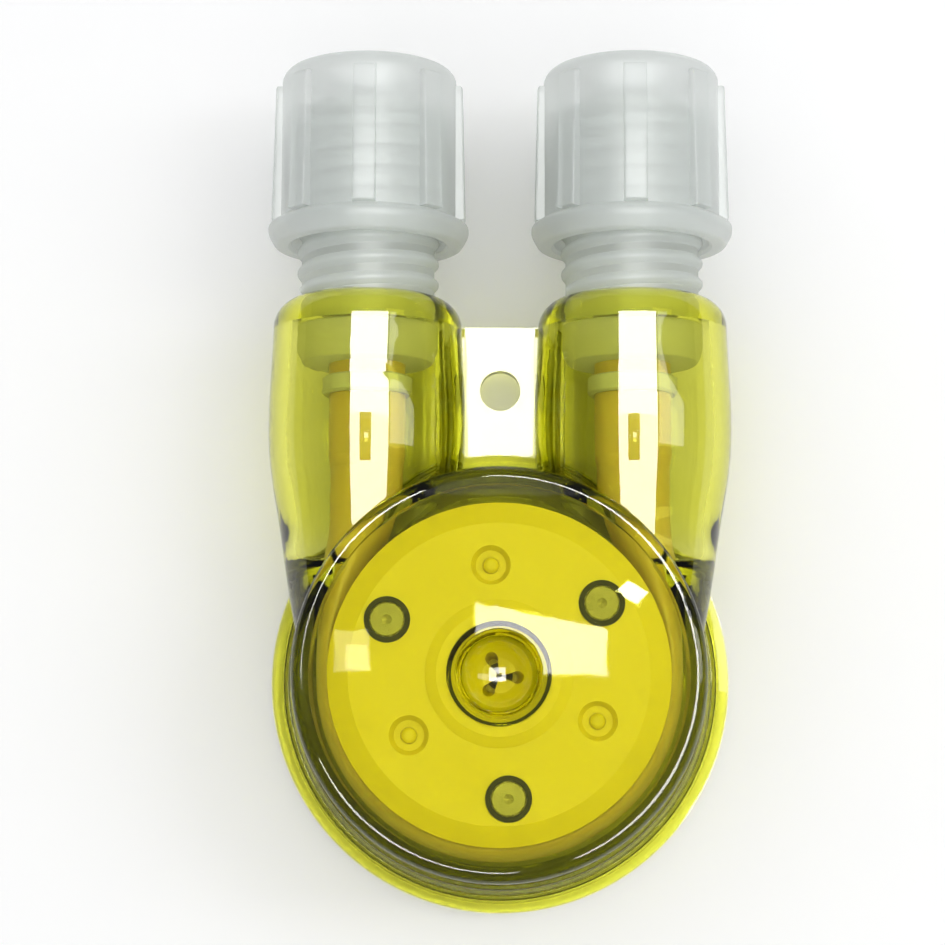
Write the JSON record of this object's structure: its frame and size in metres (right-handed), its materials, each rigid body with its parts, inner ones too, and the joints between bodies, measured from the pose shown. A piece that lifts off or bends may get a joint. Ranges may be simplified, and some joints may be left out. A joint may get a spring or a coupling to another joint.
{
  "type": "peristaltic pump head",
  "caption": "Peristaltic pump head: clear round chamber with a roller rotor working a hose loop, twin ports with threaded compression nuts, slim web with a latch hole.",
  "frame": {"origin": "on the rotor axis at the back mounting face", "axes": "+Z out of the clear front face along the rotor axis, +Y from the rotor towards the hose ports, +X towards the outlet port"},
  "size_m": [0.0624, 0.113, 0.0277],
  "materials": {
    "clear_amber": "clear moulded yellow-green plastic",
    "rotor_yellow": "satin moulded",
    "natural_plastic": "milky translucent, unpigmented",
    "grip_plastic": "milky translucent, unpigmented",
    "pump_tube": "smooth tan thermoplastic rubber",
    "roller": "turned off-white plastic",
    "steel": "knurled ends, ground shank",
    "black_bush": "black bearing plastic"
  },
  "bodies": {
    "pump_body": {"housing": "clear_amber", "back_cover": "clear_amber", "pump_tube": "pump_tube", "inlet_connector": "natural_plastic", "outlet_connector": "natural_plastic", "inlet_hose_ring": "grip_plastic", "outlet_hose_ring": "grip_plastic"},
    "rotor": {"rotor_rear_plate": "rotor_yellow", "rotor_front_plate": "rotor_yellow", "roller_pin_1": "steel", "roller_pin_2": "steel", "roller_pin_3": "steel", "rear_bush_1": "black_bush", "rear_bush_2": "black_bush", "rear_bush_3": "black_bush", "front_bush_1": "black_bush", "front_bush_2": "black_bush", "front_bush_3": "black_bush"},
    "roller_1_body": {"roller_1": "roller"},
    "roller_2_body": {"roller_2": "roller"},
    "roller_3_body": {"roller_3": "roller"},
    "inlet_grip": {"inlet_ferrule": "grip_plastic"},
    "inlet_nut_body": {"inlet_nut": "natural_plastic"},
    "outlet_grip": {"outlet_ferrule": "grip_plastic"},
    "outlet_nut_body": {"outlet_nut": "natural_plastic"}
  },
  "joints": [
    {"name": "rotor_spin", "type": "hinge", "parent": "pump_body", "child": "rotor", "pos_m": [0, 0, 0.0142], "axis": [0, 0, 1], "continuous": true},
    {"name": "roller_1_spin", "type": "hinge", "parent": "rotor", "child": "roller_1_body", "pos_m": [0.01312, 0.00898, 0.0142], "axis": [0, 0, 1], "continuous": true},
    {"name": "roller_2_spin", "type": "hinge", "parent": "rotor", "child": "roller_2_body", "pos_m": [-0.01434, 0.00687, 0.0142], "axis": [0, 0, 1], "continuous": true},
    {"name": "roller_3_spin", "type": "hinge", "parent": "rotor", "child": "roller_3_body", "pos_m": [0.00122, -0.01585, 0.0142], "axis": [0, 0, 1], "continuous": true},
    {"name": "inlet_nut_travel", "type": "slide", "parent": "pump_body", "child": "inlet_grip", "axis": [0, 1, 0], "range_m": [0, 0.0168]},
    {"name": "inlet_nut_turn", "type": "hinge", "parent": "inlet_grip", "child": "inlet_nut_body", "pos_m": [-0.0177, 0.08, 0.0142], "axis": [0, 1, 0], "range_deg": [0, 2160]},
    {"name": "outlet_nut_travel", "type": "slide", "parent": "pump_body", "child": "outlet_grip", "axis": [0, 1, 0], "range_m": [0, 0.0168]},
    {"name": "outlet_nut_turn", "type": "hinge", "parent": "outlet_grip", "child": "outlet_nut_body", "pos_m": [0.0177, 0.08, 0.0142], "axis": [0, 1, 0], "range_deg": [0, 2160]}
  ],
  "couplings": [
    {"joint": "roller_1_spin", "follows": "rotor_spin", "ratio": -4.6977},
    {"joint": "roller_2_spin", "follows": "rotor_spin", "ratio": -4.6977},
    {"joint": "roller_3_spin", "follows": "rotor_spin", "ratio": -4.6977},
    {"joint": "inlet_nut_travel", "follows": "inlet_nut_turn", "m_per_rad": 0.00044563},
    {"joint": "outlet_nut_travel", "follows": "outlet_nut_turn", "m_per_rad": 0.00044563}
  ]
}
